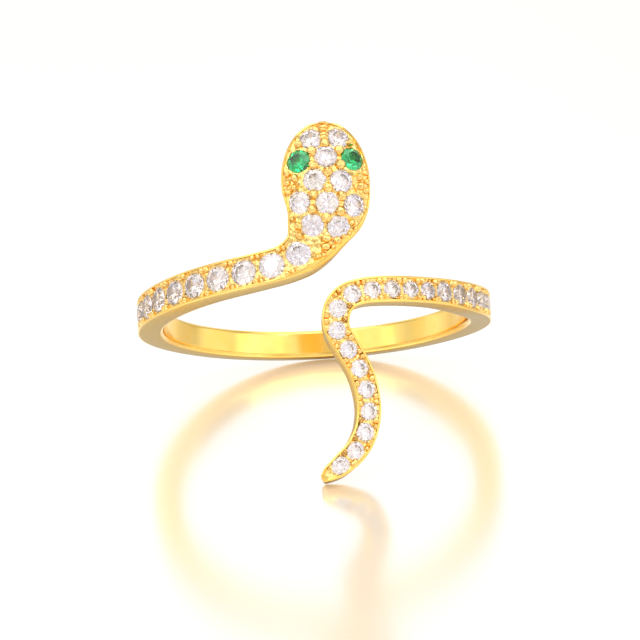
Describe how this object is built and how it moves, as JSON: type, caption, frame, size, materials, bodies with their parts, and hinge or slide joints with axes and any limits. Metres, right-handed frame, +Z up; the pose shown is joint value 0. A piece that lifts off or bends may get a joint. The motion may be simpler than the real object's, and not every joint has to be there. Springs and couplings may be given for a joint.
{
  "type": "snake wrap ring",
  "caption": "Open wrap ring shaped as a snake: one gold band with a domed head and a hanging tail, bead-set with round clear stones and green eyes.",
  "frame": {"origin": "centre of the finger hole, in the middle of the width of the plain shank", "axes": "+Z up from the table the ring lies on, +Y towards the back of the finger and along the longest extent, +X to the right of the head and tail seen from the front; the finger hole leans back by about 30 degrees from +Z"},
  "size_m": [0.0204, 0.0229, 0.0179],
  "materials": {
    "gold_plate": "polished",
    "clear_stone": "faceted and polished",
    "green_stone": "faceted and polished"
  },
  "bodies": {
    "root": {"snake_band": "gold_plate", "left_eye": "green_stone", "right_eye": "green_stone", "head_stone_1": "clear_stone", "head_stone_2": "clear_stone", "head_stone_3": "clear_stone", "head_stone_4": "clear_stone", "head_stone_5": "clear_stone", "head_stone_6": "clear_stone", "head_stone_7": "clear_stone", "head_stone_8": "clear_stone", "head_stone_9": "clear_stone", "head_stone_10": "clear_stone", "left_stone_1": "clear_stone", "left_stone_2": "clear_stone", "left_stone_3": "clear_stone", "left_stone_4": "clear_stone", "left_stone_5": "clear_stone", "left_stone_6": "clear_stone", "left_stone_7": "clear_stone", "left_stone_8": "clear_stone", "left_stone_9": "clear_stone", "right_stone_1": "clear_stone", "right_stone_2": "clear_stone", "right_stone_3": "clear_stone", "right_stone_4": "clear_stone", "right_stone_5": "clear_stone", "tail_stone_1": "clear_stone", "tail_stone_2": "clear_stone", "tail_stone_3": "clear_stone", "tail_stone_4": "clear_stone", "tail_stone_5": "clear_stone", "tail_stone_6": "clear_stone", "tail_stone_7": "clear_stone", "tail_stone_8": "clear_stone", "tail_stone_9": "clear_stone", "tail_stone_10": "clear_stone", "tail_stone_11": "clear_stone", "tail_stone_12": "clear_stone", "tail_stone_13": "clear_stone", "tail_stone_14": "clear_stone"}
  },
  "joints": []
}
